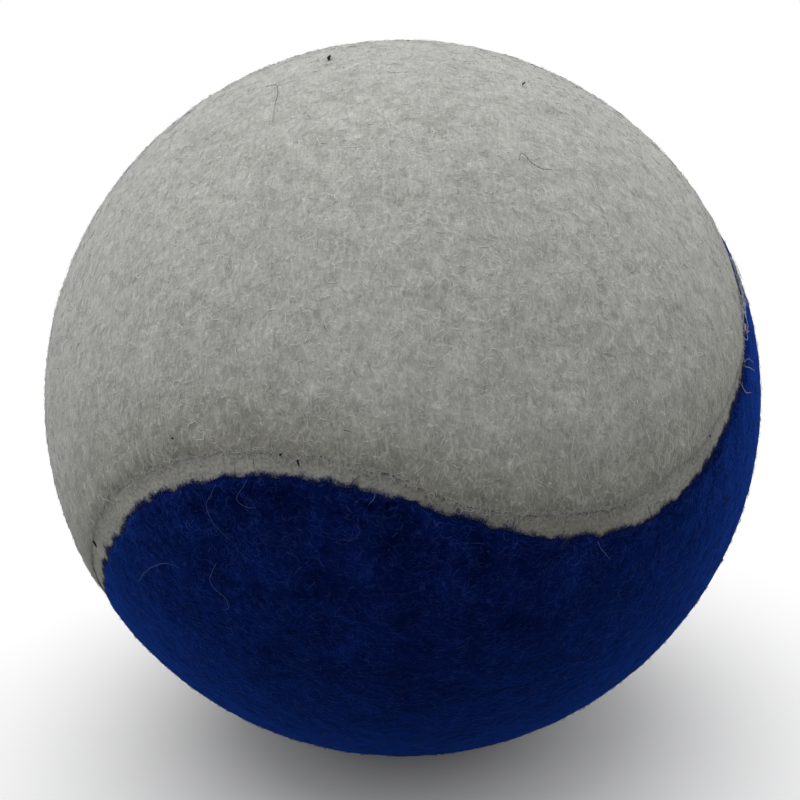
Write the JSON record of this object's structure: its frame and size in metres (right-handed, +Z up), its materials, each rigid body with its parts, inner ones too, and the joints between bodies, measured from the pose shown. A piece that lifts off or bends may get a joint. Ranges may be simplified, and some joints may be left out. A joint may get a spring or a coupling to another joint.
{
  "type": "dog tennis ball",
  "caption": "Felt-covered hollow rubber ball for a dog to chase and fetch, with a white and a blue dog-bone panel that meet at a sunken, curving rubber seam.",
  "frame": {"origin": "centre of the ball", "axes": "+Z up as the ball lies in the picture, +X through the waist of the blue panel and -X through that of the white one; the seam crosses both ends of Y and of Z"},
  "size_m": [0.065, 0.0648, 0.0648],
  "materials": {
    "core_rubber": "moulded, buffed matte",
    "rubber_cement": "cured cement, dull",
    "white_felt": "needled felt with a short curly nap",
    "blue_felt": "needled felt with a short curly nap",
    "seam_rubber": "vulcanised, matte"
  },
  "bodies": {
    "root": {"core_upper_half": "core_rubber", "core_lower_half": "core_rubber", "core_bond": "rubber_cement", "white_felt_panel": "white_felt", "blue_felt_panel": "blue_felt", "panel_seam": "seam_rubber"}
  },
  "joints": []
}
